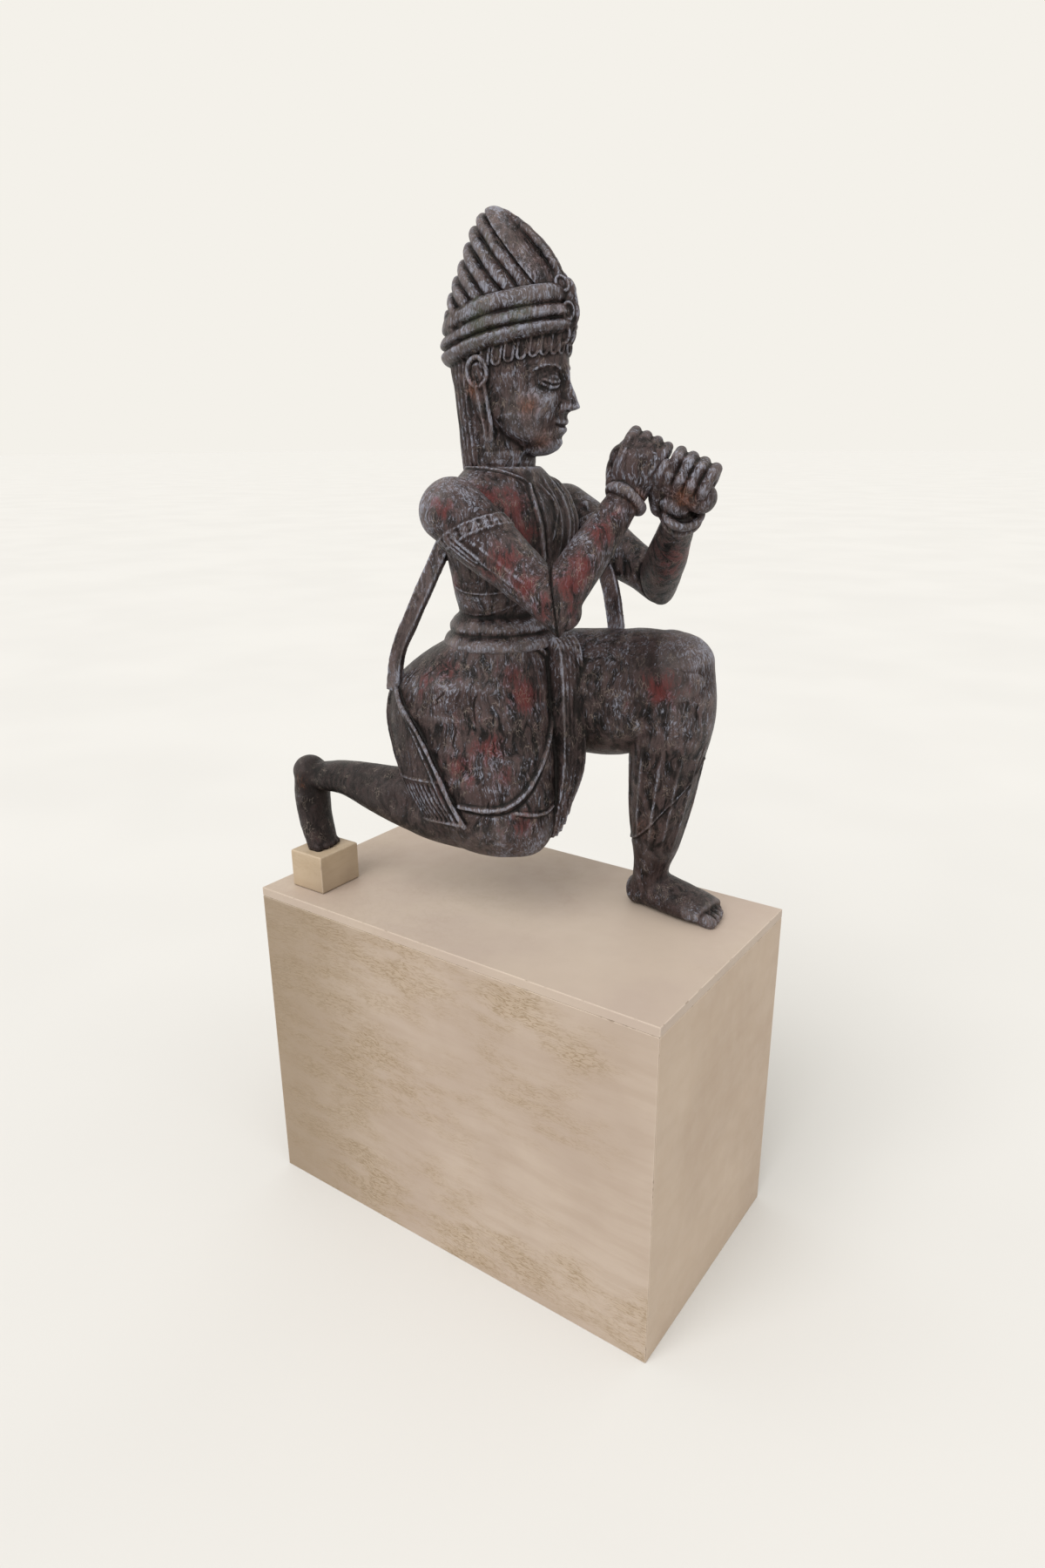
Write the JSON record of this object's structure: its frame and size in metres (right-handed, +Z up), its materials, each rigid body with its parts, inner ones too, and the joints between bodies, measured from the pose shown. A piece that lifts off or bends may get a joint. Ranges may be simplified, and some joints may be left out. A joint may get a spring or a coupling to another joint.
{
  "type": "musician statue",
  "caption": "Carved wooden musician in a turban and dhoti, lunging on one foot and the toes of the other, fists raised to a lost pipe, on a boarded plinth.",
  "frame": {"origin": "centre of the plinth's underside, on the floor", "axes": "+Z up, +X the way the figure faces, +Y to the figure's left"},
  "size_m": [0.905, 0.5, 1.8889],
  "materials": {
    "aged_wood": "dark aged wood, crackled remains of paint, blue-grey on the high places, dull red in patches",
    "cream_paint": "cream paint on board, satin, with ochre streaks in the long faces",
    "cream_block": "lighter cream paint, satin"
  },
  "bodies": {
    "root": {"figure": "aged_wood", "forearm_right": "aged_wood", "forearm_left": "aged_wood", "foot_block": "cream_block", "plinth_top": "cream_paint", "plinth_front": "cream_paint", "plinth_back": "cream_paint", "plinth_left": "cream_paint", "plinth_right": "cream_paint"}
  },
  "joints": []
}
